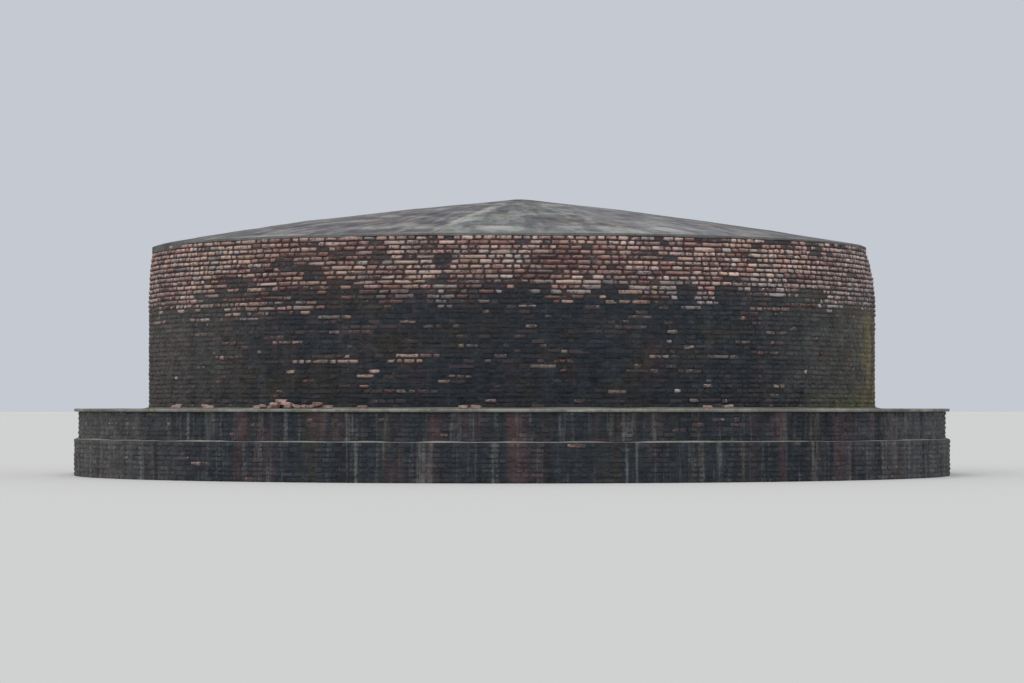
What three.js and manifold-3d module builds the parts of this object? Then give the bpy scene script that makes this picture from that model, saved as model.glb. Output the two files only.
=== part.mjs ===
// A ruined brick stupa kept in repair: a round platform in two steps, a solid round drum whose
// rebuilt upper courses lean inwards, and a low cap of cement bays. All of it is solid masonry.
// Millimetres, +Z up. The origin is on the ground at the centre, and the front faces -Y.
import * as THREE from 'three';
import { mergeVertices } from 'three/addons/utils/BufferGeometryUtils.js';
import Module from 'manifold-3d';

// Driving dimensions. A wall's radius is that of its mortar bed, just behind the worn brick faces.
const course = 83; // one brick and its joint
const plinth = { radius: 8040, courses: 8 };
const platform = { radius: 7960, courses: 6 };
const slab = { radius: 8050, thickness: 60 };
const drum = { radius: 6680, oldCourses: 20, rebuiltCourses: 15 };
const lean = { average: 130, towardsRight: 56, power: 2.4 }; // how far the drum's top lies inside its foot
const cap = { overhang: 25, edge: 45, rise: 965, bulge: 0.07 };
const platformCore = { apothem: 6200 }; // the hexagons of rubble and brick behind the facing
const drumCore = { apothem: 5100 };
const jointGap = 0.3; // between neighbouring bays

// Levels above the ground
const plinthTop = plinth.courses * course;
const platformTop = plinthTop + platform.courses * course;
const terrace = platformTop + slab.thickness;
const oldTop = terrace + drum.oldCourses * course;
const drumTop = oldTop + drum.rebuiltCourses * course;

// Each ring is six bays, named as they lie seen from the front.
const bays = [
  ['front', -90],
  ['front_right', -30],
  ['back_right', 30],
  ['back', 90],
  ['back_left', 150],
  ['front_left', 210],
];
const bayAngle = THREE.MathUtils.degToRad(360 / bays.length);
const stepsPerBay = 12;

const brick = new THREE.MeshStandardMaterial({ color: 0x8a5a48, roughness: 0.95, metalness: 0 });
const darkBrick = new THREE.MeshStandardMaterial({ color: 0x34363a, roughness: 0.95, metalness: 0 });
const limeConcrete = new THREE.MeshStandardMaterial({ color: 0x9a9b92, roughness: 0.9, metalness: 0 });
const capCement = new THREE.MeshStandardMaterial({ color: 0x7d8082, roughness: 0.9, metalness: 0 });
const rubble = new THREE.MeshStandardMaterial({ color: 0x6b5648, roughness: 1, metalness: 0 });

const wasm = await Module();
wasm.setup();

const stupa = new THREE.Group();

function place(name, geometry, material, level = 0) {
  const mesh = new THREE.Mesh(geometry, material);
  mesh.name = name;
  mesh.position.z = level;
  stupa.add(mesh);
}

// A closed three.js geometry as a solid that can be cut.
function solidOf(geometry) {
  const bare = geometry.clone();
  bare.deleteAttribute('normal');
  bare.deleteAttribute('uv');
  const merged = mergeVertices(bare, 1e-3);
  const corners = merged.index.array;
  const kept = [];
  for (let i = 0; i < corners.length; i += 3) {
    const [a, b, c] = [corners[i], corners[i + 1], corners[i + 2]];
    if (a !== b && b !== c && c !== a) kept.push(a, b, c);
  }
  return new wasm.Manifold(new wasm.Mesh({
    numProp: 3,
    vertProperties: merged.attributes.position.array,
    triVerts: new Uint32Array(kept),
  }));
}

function geometryOf(solid) {
  const mesh = solid.getMesh();
  return new THREE.BufferGeometry()
    .setAttribute('position', new THREE.BufferAttribute(mesh.vertProperties, 3))
    .setIndex(new THREE.BufferAttribute(mesh.triVerts, 1));
}

// The plan of one bay: a round face outside and a straight back against the core, pushed out
// along its middle by enough to leave the joint gap. An apothem of 0 brings it to a point.
function bayPlan(middle, radius, apothem) {
  const half = bayAngle / 2;
  const backRadius = apothem / Math.cos(half);
  const push = jointGap / 2 / Math.sin(half);
  const start = middle - half;
  const end = middle + half;
  const shift = new THREE.Vector2(push * Math.cos(middle), push * Math.sin(middle));
  const at = (r, angle) => new THREE.Vector2(r * Math.cos(angle), r * Math.sin(angle)).add(shift);
  const points = [];
  for (let i = 0; i <= stepsPerBay; i += 1) {
    points.push(at(radius - push, start + (bayAngle * i) / stepsPerBay));
  }
  if (apothem > 0) {
    points.push(at(backRadius, end), at(backRadius, start));
  } else {
    points.push(shift);
  }
  return new THREE.Shape(points);
}

function upright(plan, height) {
  return new THREE.ExtrudeGeometry(plan, { depth: height, bevelEnabled: false });
}

function hexagon(apothem) {
  const corner = apothem / Math.cos(bayAngle / 2);
  const points = bays.map(([, middle]) => {
    const angle = THREE.MathUtils.degToRad(middle) + bayAngle / 2;
    return new THREE.Vector2(corner * Math.cos(angle), corner * Math.sin(angle));
  });
  return new THREE.Shape(points);
}

// A straight-faced ring of six bays.
function ring(name, { radius }, apothem, level, height, material) {
  for (const [side, degrees] of bays) {
    const middle = THREE.MathUtils.degToRad(degrees);
    place(`${name}_${side}`, upright(bayPlan(middle, radius, apothem), height), material, level);
  }
}

// How far the drum's face has come in at a share of the rebuilt height: more on the right.
function leanAt(angle, share) {
  return (lean.average + lean.towardsRight * Math.cos(angle)) * Math.max(share, 0) ** lean.power;
}

// A solid turned about the axis whose outline is [share of the radius, height] pairs, and whose
// radius at an angle and height comes from radiusAt. Its facets start half a step off a bay joint.
function turned(outline, radiusAt) {
  const segments = bays.length * stepsPerBay;
  const lathe = new THREE.LatheGeometry(outline.map(([r, z]) => new THREE.Vector2(r, z)), segments);
  lathe.rotateX(Math.PI / 2).rotateZ(Math.PI / segments);
  const position = lathe.attributes.position;
  for (let i = 0; i < position.count; i += 1) {
    const [x, y, z] = [position.getX(i), position.getY(i), position.getZ(i)];
    const radius = radiusAt(Math.atan2(y, x), z);
    position.setXYZ(i, x * radius, y * radius, z);
  }
  return solidOf(lathe);
}

// Six bays cut from a turned solid.
function turnedRing(name, body, apothem, level, height, material) {
  for (const [side, degrees] of bays) {
    const middle = THREE.MathUtils.degToRad(degrees);
    const cutter = solidOf(upright(bayPlan(middle, 2 * drum.radius, apothem), 2 * height))
      .translate([0, 0, -height / 2]);
    place(`${name}_${side}`, geometryOf(body.intersect(cutter)), material, level);
  }
}

function platformParts() {
  place('platform_core', upright(hexagon(platformCore.apothem), platformTop), rubble);
  ring('plinth_wall', plinth, platformCore.apothem, 0, plinthTop, darkBrick);
  ring('platform_wall', platform, platformCore.apothem, plinthTop, platformTop - plinthTop, darkBrick);
  ring('terrace_slab', slab, drumCore.apothem, platformTop, slab.thickness, limeConcrete);
}

function drumParts() {
  const levels = 5;
  const height = drumTop - oldTop;
  const outline = [[0, 0]];
  for (let i = 0; i <= levels; i += 1) outline.push([1, (height * i) / levels]);
  outline.push([0, height]);
  const rebuilt = turned(outline, (angle, z) => drum.radius - leanAt(angle, z / height));
  place('drum_core', upright(hexagon(drumCore.apothem), drumTop - platformTop), rubble, platformTop);
  ring('drum_old_wall', drum, drumCore.apothem, terrace, oldTop - terrace, darkBrick);
  turnedRing('drum_rebuilt_wall', rebuilt, drumCore.apothem, oldTop, height, brick);
}

// The cap's height at a share of its radius: a cone that bulges a little.
function capHeight(share) {
  return cap.edge + (cap.rise - cap.edge) * (1 - share) * (1 + 4 * cap.bulge * share);
}

function capParts() {
  const shares = [1, 0.85, 0.7, 0.5, 0.3, 0.12, 0];
  const outline = [[0, 0], [1, 0], ...shares.map((share) => [share, capHeight(share)])];
  const body = turned(outline, (angle) => drum.radius - leanAt(angle, 1) + cap.overhang);
  turnedRing('cap_bay', body, 0, drumTop, cap.rise, capCement);
}

platformParts();
drumParts();
capParts();

export default stupa;
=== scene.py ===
# A ruined brick stupa: separate worn bricks on the platform and the drum, a lime terrace with its
# broken edge, a cap of cement bays, and broken bricks at the drum's foot. Metres, with the front at -Y.
import math

import bpy
import numpy as np
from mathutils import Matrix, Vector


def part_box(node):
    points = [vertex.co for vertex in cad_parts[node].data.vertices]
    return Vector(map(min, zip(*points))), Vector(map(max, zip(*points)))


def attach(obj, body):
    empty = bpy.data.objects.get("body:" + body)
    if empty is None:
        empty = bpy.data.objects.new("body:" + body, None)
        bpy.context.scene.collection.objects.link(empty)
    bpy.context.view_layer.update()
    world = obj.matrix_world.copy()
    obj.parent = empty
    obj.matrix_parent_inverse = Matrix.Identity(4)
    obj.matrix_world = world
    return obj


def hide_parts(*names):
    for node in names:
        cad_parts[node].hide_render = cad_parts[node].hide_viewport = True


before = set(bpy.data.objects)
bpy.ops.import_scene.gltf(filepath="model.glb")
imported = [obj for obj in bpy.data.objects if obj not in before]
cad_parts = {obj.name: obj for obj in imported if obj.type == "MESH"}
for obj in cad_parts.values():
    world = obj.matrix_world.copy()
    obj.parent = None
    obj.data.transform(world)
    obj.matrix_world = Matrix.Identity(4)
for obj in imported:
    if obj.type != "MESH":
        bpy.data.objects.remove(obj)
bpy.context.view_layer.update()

# Places taken from the CAD: the levels between the rings, and the radii of their mortar beds
def topOf(node):
    # The top of the node's box
    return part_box(node)[1][2]


def reachOf(node):
    # How far the node's box reaches towards the front
    return -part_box(node)[0][1]


plinthTop = topOf("plinth_wall_front")
platformTop = topOf("platform_wall_front")
terraceTop = topOf("terrace_slab_front")
oldTop = topOf("drum_old_wall_front")
drumTop = topOf("drum_rebuilt_wall_front")
apexTop = topOf("cap_bay_front")
plinthRadius = reachOf("plinth_wall_front")
platformRadius = reachOf("platform_wall_front")
slabRadius = reachOf("terrace_slab_front")
drumRadius = reachOf("drum_old_wall_front")

course = 0.083  # one brick and its bed joint
lean = {"average": 0.130, "towardsRight": 0.056, "power": 2.4}  # the drum's top inside its foot
sides = ["front", "front_right", "back_right", "back", "back_left", "front_left"]


def smooth(value, low, high):
    # 3t^2 - 2t^3, where t runs from 0 at low to 1 at high
    t = np.clip((value - low) / (high - low), 0, 1)
    return t * t * (3 - 2 * t)


def between(value, low, full, fullTo, high):
    # 1 from full to fullTo, falling smoothly to 0 at low and at high
    return smooth(value, low, full) * smooth(value, high, fullTo)


def drumFace(bearing, height):
    # The drum's mortar face: its radius, less the lean, which grows with the rebuilt height to a power.
    # A bearing is the angle from the front, in radians, and grows towards the right.
    share = np.clip((height - oldTop) / (drumTop - oldTop), 0, 1)
    return drumRadius - (lean["average"] + lean["towardsRight"] * np.sin(bearing)) * share ** lean["power"]


def patches(seed, bearing, height, width, tall):
    # Smooth random patches of about width x tall metres round the wall, from -1 to 1: a lattice of random
    # values, each point blended from the four round it with the smooth step.
    columns, rows = max(4, round(2 * math.pi * drumRadius / width)), 96
    lattice = np.random.default_rng(seed).uniform(-1, 1, (columns, rows + 1))
    across = bearing / (2 * math.pi) % 1 * columns
    up = height / tall % rows
    i, j = np.floor(across).astype(int) % columns, np.floor(up).astype(int)
    u, v = smooth(across % 1, 0, 1), smooth(up % 1, 0, 1)
    below = lattice[i, j] * (1 - u) + lattice[(i + 1) % columns, j] * u
    above = lattice[i, j + 1] * (1 - u) + lattice[(i + 1) % columns, j + 1] * u
    return below * (1 - v) + above * v


def ripples(seed, bearing, width):
    # Patches that change with the bearing alone
    return patches(seed, bearing, 1.0, width, 1)


def wornEdge(bearing, broad, fine, bitten):
    # How far a ring's edge wanders, as two ripples of about 1 cm, and where bites are broken out of it,
    # from 0 to 1. Each of the three patterns is given by its seed and width.
    wander = 0.010 * ripples(broad[0], bearing, broad[1]) + 0.008 * ripples(fine[0], bearing, fine[1])
    return wander, smooth(ripples(bitten[0], bearing, bitten[1]), 0.5, 0.9)


def onWall(radius, bearing, height):
    # x = r sin b, y = -r cos b, z = h
    return np.stack(np.broadcast_arrays(radius * np.sin(bearing), -radius * np.cos(bearing), height), -1)


def intoScene(name, data):
    # A new object with the data, at the origin
    made = bpy.data.objects.new(name, data)
    bpy.context.scene.collection.objects.link(made)
    return made


# Meshes from arrays
def makePiece(name, points, faces, material, replaced=(), attributes=None, maps=None):
    # faces is a list of index arrays, one array for each number of corners
    mesh = bpy.data.meshes.new(name)
    corners = np.concatenate([group.ravel() for group in faces]).astype(np.int32)
    counts = np.concatenate([np.full(len(group), group.shape[1]) for group in faces]).astype(np.int32)
    mesh.vertices.add(len(points))
    mesh.vertices.foreach_set("co", points.astype(np.float32).ravel())
    mesh.loops.add(len(corners))
    mesh.loops.foreach_set("vertex_index", corners)
    mesh.polygons.add(len(counts))
    mesh.polygons.foreach_set("loop_start", (np.cumsum(counts) - counts).astype(np.int32))
    mesh.polygons.foreach_set("use_smooth", np.ones(len(counts), bool))
    mesh.update(calc_edges=True)
    mesh.set_sharp_from_angle(angle=math.radians(48))  # keeps brick edges crisp and the cap soft
    for key, values in (attributes or {}).items():
        layer = mesh.attributes.new(key, "FLOAT", "POINT")
        layer.data.foreach_set("value", values.astype(np.float32).ravel())
    if maps is not None:
        mesh.uv_layers.new(name="OFBake").data.foreach_set("uv", maps.astype(np.float32).ravel())
    mesh.materials.append(material)
    piece = intoScene(name, mesh)
    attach(piece, "root")
    if replaced:
        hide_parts(*replaced)


def copied(groups, count, each):
    # One shell's faces, once for every shell: their indices move on by each, the points of a shell
    first = np.arange(count)[:, None, None] * each
    return [(first + group).reshape(-1, group.shape[-1]) for group in groups]


# Shader building blocks. Each returns an output socket.
def paint(red, green, blue):
    # A screen colour, 0 to 255, as linear light
    return *(((c / 255 + 0.055) / 1.055) ** 2.4 for c in (red, green, blue)), 1


def put(tree, kind, inputs=(), **settings):
    # A node with its settings, whose inputs are linked where they are given a socket
    made = tree.nodes.new("ShaderNode" + kind)
    for key, value in settings.items():
        setattr(made, key, value)
    for key, value in dict(inputs).items():
        if isinstance(value, bpy.types.NodeSocket):
            tree.links.new(value, made.inputs[key])
        else:
            made.inputs[key].default_value = value
    return made


def grain(tree, place, scale, detail=4.0, roughness=0.6, stretch=(1, 1, 1)):
    # Noise from about 0.25 to 0.75; scale counts its features in a metre
    if stretch != (1, 1, 1):
        place = put(tree, "Mapping", {"Vector": place, "Scale": stretch}).outputs[0]
    inputs = {"Vector": place, "Scale": scale, "Detail": detail, "Roughness": roughness}
    return put(tree, "TexNoise", inputs).outputs["Fac"]


def fade(tree, value, low, high):
    # The smooth step from 0 at low to 1 at high
    inputs = {"Value": value, "From Min": low, "From Max": high}
    return put(tree, "MapRange", inputs, interpolation_type="SMOOTHSTEP").outputs[0]


def ranged(tree, value, low, high, start=0.0, end=1.0):
    # Straight from low to high, as the value goes from start to end
    inputs = {"Value": value, "From Min": start, "From Max": end, "To Min": low, "To Max": high}
    return put(tree, "MapRange", inputs).outputs[0]


def maths(tree, operation, first, second=0.0, third=0.0):
    # A sum, difference or product of numbers
    return put(tree, "Math", {0: first, 1: second, 2: third}, operation=operation).outputs[0]


def overlap(tree, mask, *others):
    # Where every mask is, as their product
    for other in others:
        mask = maths(tree, "MULTIPLY", mask, other)
    return mask


def blend(tree, share, first, second, way="MIX"):
    # first where the share is 0, second where it is 1, or another way of mixing the two
    return put(tree, "Mix", {0: share, 6: first, 7: second}, data_type="RGBA", blend_type=way).outputs[2]


def laid(tree, colour, over, mask, strength):
    # One colour laid over another where a mask is, at most as strongly as given
    return blend(tree, maths(tree, "MULTIPLY", mask, strength), colour, over)


def speckled(tree, colour, noise, low, high):
    # The colour times low to high, as a noise goes from 0.3 to 0.7
    return blend(tree, 1.0, colour, ranged(tree, noise, low, high, 0.3, 0.7), "MULTIPLY")


def attribute(tree, name):
    # A value that makePiece gave to each point
    return put(tree, "Attribute", attribute_name=name).outputs["Fac"]


def startMaterial(name):
    # Returns the material, its tree, its main shader and the Object coordinates
    made = bpy.data.materials.new(name)
    made.use_nodes = True
    tree = made.node_tree
    shader = tree.nodes["Principled BSDF"]
    shader.inputs["Specular IOR Level"].default_value = 0.12  # weathered stuff hardly shines
    return made, tree, shader, put(tree, "TexCoord").outputs["Object"]


def finishMaterial(tree, shader, colour, roughness, relief, depth):
    # relief is a height from 0 to 1, and depth its size in metres
    tree.links.new(colour, shader.inputs["Base Color"])
    tree.links.new(roughness, shader.inputs["Roughness"])
    bump = put(tree, "Bump", {"Height": relief, "Distance": depth, "Strength": 1.0})
    tree.links.new(bump.outputs[0], shader.inputs["Normal"])


crustLook = {
    "blue": paint(50, 54, 59),
    "brown": paint(59, 57, 55),
    "moss": paint(140, 124, 84),
    "green": paint(104, 106, 72),
    "thin": paint(95, 80, 79),
    "streak": paint(108, 107, 105),
    "wet": paint(38, 40, 46),
    "maroon": paint(86, 66, 68),
    # the moss's edges along x, y and z: how much each wanders, where it starts and where it is full
    "mossEdges": ((0.35, 6.1, 6.6), (0.7, 1.6, -0.3), (0.4, 3.2, 2.7)),
    "greenEdge": (0.5, 4.9, 5.9),  # the same for the green foot, along x
    "greenRise": (0.15, 0.45),  # how much its top wanders, and its height over the terrace
    # how strongly pale and wet runs and maroon stains show, where the flanks turn paler, from the middle, and
    # in which colours, how the patterns of tones, stains and pale runs are stretched, and how soft stains are
    "drum": {
        "runs": 0.1, "wetness": 0.16, "maroonness": 0.25, "flank": (3.5, 7.2),
        "left": paint(97, 92, 86), "right": paint(100, 97, 90),
        "tones": (1, 1, 1.6), "stains": (1.6, 1.6, 0.7), "softness": 0.7, "lines": (5, 5, 0.3),
    },
    "platform": {
        "runs": 0.7, "wetness": 0.6, "maroonness": 0.6, "flank": (4.8, 8.2),
        "left": paint(97, 94, 91), "right": paint(98, 97, 98),
        "tones": (3, 3, 0.3), "stains": (1.7, 1.7, 0.25), "softness": 0.5, "lines": (6, 6, 0.3),
    },
}


def crustColour(tree, place, wall):
    # Black algae over old brick: bluish and brownish in patches and paler on both flanks, with maroon
    # stains and with pale and wet vertical runs. The drum's right flank has streaks of moss and, lower
    # down, a green foot.
    look = crustLook[wall]
    x, y, z = put(tree, "SeparateXYZ", {0: place}).outputs
    spread = maths(tree, "MULTIPLY_ADD", grain(tree, place, 2.3, 5), 3.0, -1.5)

    def edge(along, wander, start, full):
        # The smooth step along x, y or z, moved by wander times the random spread
        return fade(tree, maths(tree, "MULTIPLY_ADD", spread, wander, along), start, full)

    tones = fade(tree, grain(tree, place, 0.9, 6, 0.7, look["tones"]), 0.46, 0.66)
    colour = blend(tree, tones, crustLook["blue"], crustLook["brown"])
    maroon = fade(tree, grain(tree, place, 1.0, 5, look["softness"], look["stains"]), 0.52, 0.66)
    colour = laid(tree, colour, crustLook["maroon"], maroon, look["maroonness"])
    toLeft = fade(tree, maths(tree, "SUBTRACT", spread, x), *look["flank"])
    toRight = fade(tree, maths(tree, "ADD", spread, x), *look["flank"])
    colour = laid(tree, colour, look["left"], toLeft, 0.75)
    colour = laid(tree, colour, look["right"], toRight, 0.75)
    if wall == "drum":
        streaks = fade(tree, grain(tree, place, 1.0, 5, 0.7, (1.7, 1.7, 0.5)), 0.34, 0.6)
        edges = [edge(along, *limits) for along, limits in zip((x, y, z), crustLook["mossEdges"])]
        colour = laid(tree, colour, crustLook["moss"], overlap(tree, streaks, *edges), 0.85)
        wander, rise = crustLook["greenRise"]
        foot = overlap(tree, edge(z, wander, terraceTop + rise, terraceTop), edge(x, *crustLook["greenEdge"]))
        colour = laid(tree, colour, crustLook["green"], foot, 0.5)
    pale = fade(tree, grain(tree, place, 1.0, 4, 0.75, look["lines"]), 0.51, 0.7)
    wet = fade(tree, grain(tree, place, 1.0, 3, 0.7, (3.1, 3.1, 0.22)), 0.52, 0.66)
    colour = laid(tree, colour, crustLook["wet"], wet, look["wetness"])
    colour = laid(tree, colour, crustLook["streak"], pale, look["runs"])
    colour = speckled(tree, colour, grain(tree, place, 1.6, 4, 0.6, (1, 1, 7)), 0.88, 1.12)
    colour = speckled(tree, colour, grain(tree, place, 6, 4, 0.65, (1, 1, 1.6)), 0.76, 1.26)
    return speckled(tree, colour, grain(tree, place, 24, 5, 0.72), 0.74, 1.28)


clayLook = {
    "tones": [
        (0.0, paint(76, 58, 60)),
        (0.18, paint(108, 77, 73)),
        (0.34, paint(138, 99, 90)),
        (0.5, paint(167, 136, 126)),
        (0.64, paint(184, 159, 149)),
        (0.77, paint(170, 139, 119)),
        (0.89, paint(160, 151, 147)),
        (1.0, paint(124, 114, 118)),
    ],
    "lichen": paint(146, 142, 138),
    # soot, and also painted shade along each brick's lower edge
    "darkening": paint(62, 52, 53),
    # a painted highlight along each brick's upper edge
    "edge": paint(206, 192, 182),
    "bleached": paint(150, 140, 142),
    "bleachedFrom": (4.6, 6.4),  # where that starts along x, and where it is full
}


def clayColour(tree, place):
    # Clay by each brick's own tone and shade, with a grey lichen film, a bleached right flank, sooty
    # blotches and hollows, darker towards each end, painted shade along the lower edge and a painted
    # highlight along the upper one
    ramp = put(tree, "ValToRGB", {"Fac": attribute(tree, "tone")})
    ends = ramp.color_ramp.elements
    ends[0].position, ends[0].color = clayLook["tones"][0]
    ends[1].position, ends[1].color = clayLook["tones"][-1]
    for position, colour in clayLook["tones"][1:-1]:
        ends.new(position).color = colour
    film = fade(tree, grain(tree, place, 1.6, 5, 0.65), 0.48, 0.7)
    colour = laid(tree, ramp.outputs[0], clayLook["lichen"], film, 0.6)
    flank = fade(tree, put(tree, "SeparateXYZ", {0: place}).outputs[0], *clayLook["bleachedFrom"])
    colour = laid(tree, colour, clayLook["bleached"], flank, 0.45)
    rise = attribute(tree, "rise")
    # painted highlight along the upper edge
    colour = laid(tree, colour, clayLook["edge"], fade(tree, rise, 0.2, 0.8), 0.25)
    for darkened, strength in (
        # first painted shade along the lower edge, then sooty blotches and hollows, then darker towards each
        # end
        (fade(tree, rise, 0.1, -0.9), 0.7),
        (fade(tree, grain(tree, place, 8.5, 6, 0.7), 0.5, 0.6), 0.6),
        (fade(tree, grain(tree, place, 17, 5, 0.72), 0.53, 0.66), 0.6),
        (fade(tree, attribute(tree, "inset"), 0.035, 0.0), 0.65),
    ):
        colour = laid(tree, colour, clayLook["darkening"], darkened, strength)
    colour = blend(tree, 1.0, colour, attribute(tree, "shade"), "MULTIPLY")
    return speckled(tree, colour, grain(tree, place, 60, 3, 0.6), 0.86, 1.14)


def brickMaterial(name, wall):
    # Clay shows through the crust where the brick's own bareness beats the crust's pattern, and tints
    # the crust where that is thin
    made, tree, shader, place = startMaterial(name)
    bare = attribute(tree, "bare")
    pattern = maths(tree, "MULTIPLY_ADD", grain(tree, place, 8, 5, 0.68, (1, 1, 1.7)), 1.7, -0.85)
    showing = fade(tree, maths(tree, "ADD", bare, pattern), 0.42, 0.58)
    own = ranged(tree, attribute(tree, "shade"), 0.82, 1.18, 0.5, 1.0)
    crust = blend(tree, 1.0, crustColour(tree, place, wall), own, "MULTIPLY")
    crust = laid(tree, crust, crustLook["thin"], fade(tree, bare, 0.04, 0.5), 0.5)
    colour = blend(tree, showing, crust, clayColour(tree, place))
    roughness = ranged(tree, showing, 0.95, 0.86)
    finishMaterial(tree, shader, colour, roughness, grain(tree, place, 34, 5, 0.7), 0.007)
    return made


def crustedMortar(name, wall):
    # Joints that the crust has grown over, a little darker than the faces
    made, tree, shader, place = startMaterial(name)
    worn = grain(tree, place, 6, 5, 0.7, (1, 1, 3))
    colour = speckled(tree, crustColour(tree, place, wall), worn, 0.82, 1.08)
    finishMaterial(tree, shader, colour, ranged(tree, worn, 0.9, 1.0), grain(tree, place, 40, 4, 0.7), 0.007)
    return made


def mortarMaterial(name, dark, pale, crustedTo=None):
    # Sooty mortar with some lime left in it, and black crust up to about the height that is given
    made, tree, shader, place = startMaterial(name)
    worn = grain(tree, place, 5, 5, 0.7, (1, 1, 3))
    fine = grain(tree, place, 40, 4, 0.7)
    colour = blend(tree, fade(tree, worn, 0.5, 0.72), dark, pale)
    if crustedTo:
        z = put(tree, "SeparateXYZ", {0: place}).outputs[2]
        height = maths(tree, "MULTIPLY_ADD", grain(tree, place, 1.3, 5, 0.65), -0.8, z)
        crusted = fade(tree, height, crustedTo + 0.1, crustedTo - 0.2)
        colour = laid(tree, colour, crustColour(tree, place, "drum"), crusted, 0.95)
    colour = speckled(tree, colour, fine, 0.7, 1.3)
    finishMaterial(tree, shader, colour, ranged(tree, worn, 0.9, 1.0), fine, 0.006)
    return made


# Bricks: laid course by course, then every brick is one small closed shell
brickShape = {
    "pitches": (0.14, 0.225, 0.33, 0.445),  # bat, header, three-quarter and stretcher, each with its joint
    # the shares of these four in each sort of course, and the shares of the three sorts
    "shares": ((0.42, 0.4, 0.1, 0.08), (0.32, 0.58, 0.07, 0.03), (0.28, 0.36, 0.2, 0.16)),
    "sorts": (0.5, 0.25, 0.25),
    "pitchSpread": 0.06,
    "long": 0.28,  # the least pitch of a brick that may be broken in two
    "broken": (0.1, 0.6),  # share of long bricks that are: in general, and on the right
    "onRight": (0.35, 0.65),  # sine of the bearing from which more are, and at which most are
    "cut": (0.35, 0.65),  # how far along
    "joint": 0.014,
    "height": 0.066,
    "heightSpread": 0.08,
    "embedded": 0.03,
    # places along a brick: the end that each belongs to, and its way in from there
    "side": np.array([-1, -1, -1, 0, 1, 1, 1]),
    "wayIn": np.array([0, 0.005, 0.022, 0, 0.022, 0.005, 0]),
    "up": np.array([-1, -0.86, -0.45, 0.45, 0.86, 1]),
    "roundedEdge": 0.008,
    "tilt": (0.004, 0.003),  # usual depth at the ends, and at the beds
    "roughness": 0.002,
    "drawnIn": (0.006, 0.003),  # of corners, along the brick and in height
    "jitter": 0.004,
    "lift": 0.0025,
    "wave": 0.008,
}


def layCourses(draw, level, count, face):
    # Each course is a run of headers, three-quarters and stretchers, drawn at random and stretched a
    # little so that it closes on itself. Some of the long ones are broken in two. Returns one array for
    # each property.
    laidRows = []
    for k in range(count):
        height = level + (k + 0.5) * course
        around = 2 * math.pi * float(face(0.0, height))
        shares = brickShape["shares"][draw.choice(3, p=brickShape["sorts"])]
        pitch = draw.choice(brickShape["pitches"], 400, p=shares)  # more than a course needs
        pitch = pitch * draw.normal(1, brickShape["pitchSpread"], len(pitch))
        ends = np.cumsum(pitch)
        used = int(np.searchsorted(ends, around))
        ends = ends[:used] / ends[used - 1] * 2 * math.pi
        starts = np.concatenate([[0], ends[:-1]])
        bearing, half = (starts + ends) / 2 + draw.uniform(0, 2 * math.pi), (ends - starts) / 2
        usual, towardsRight = brickShape["broken"]
        chance = usual + (towardsRight - usual) * smooth(np.sin(bearing), *brickShape["onRight"])
        broken = (pitch[:used] > brickShape["long"]) & (draw.random(used) < chance)
        cut = draw.uniform(*brickShape["cut"], used)[broken]
        whole, parted = half[~broken], half[broken]
        bearing = np.concatenate(
            [bearing[~broken], bearing[broken] - parted * (1 - cut), bearing[broken] + parted * cut]
        )
        half = np.concatenate([whole, parted * cut, parted * (1 - cut)])
        half = half * around / (2 * math.pi) - brickShape["joint"] / 2
        laidRows.append(np.stack([bearing, half, np.full(len(half), height), np.full(len(half), k)]))
    bearing, half, height, row = np.concatenate(laidRows, 1)
    bearing = (bearing + math.pi) % (2 * math.pi) - math.pi
    return {"bearing": bearing, "half": half, "height": height, "row": row.astype(int)}


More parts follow.
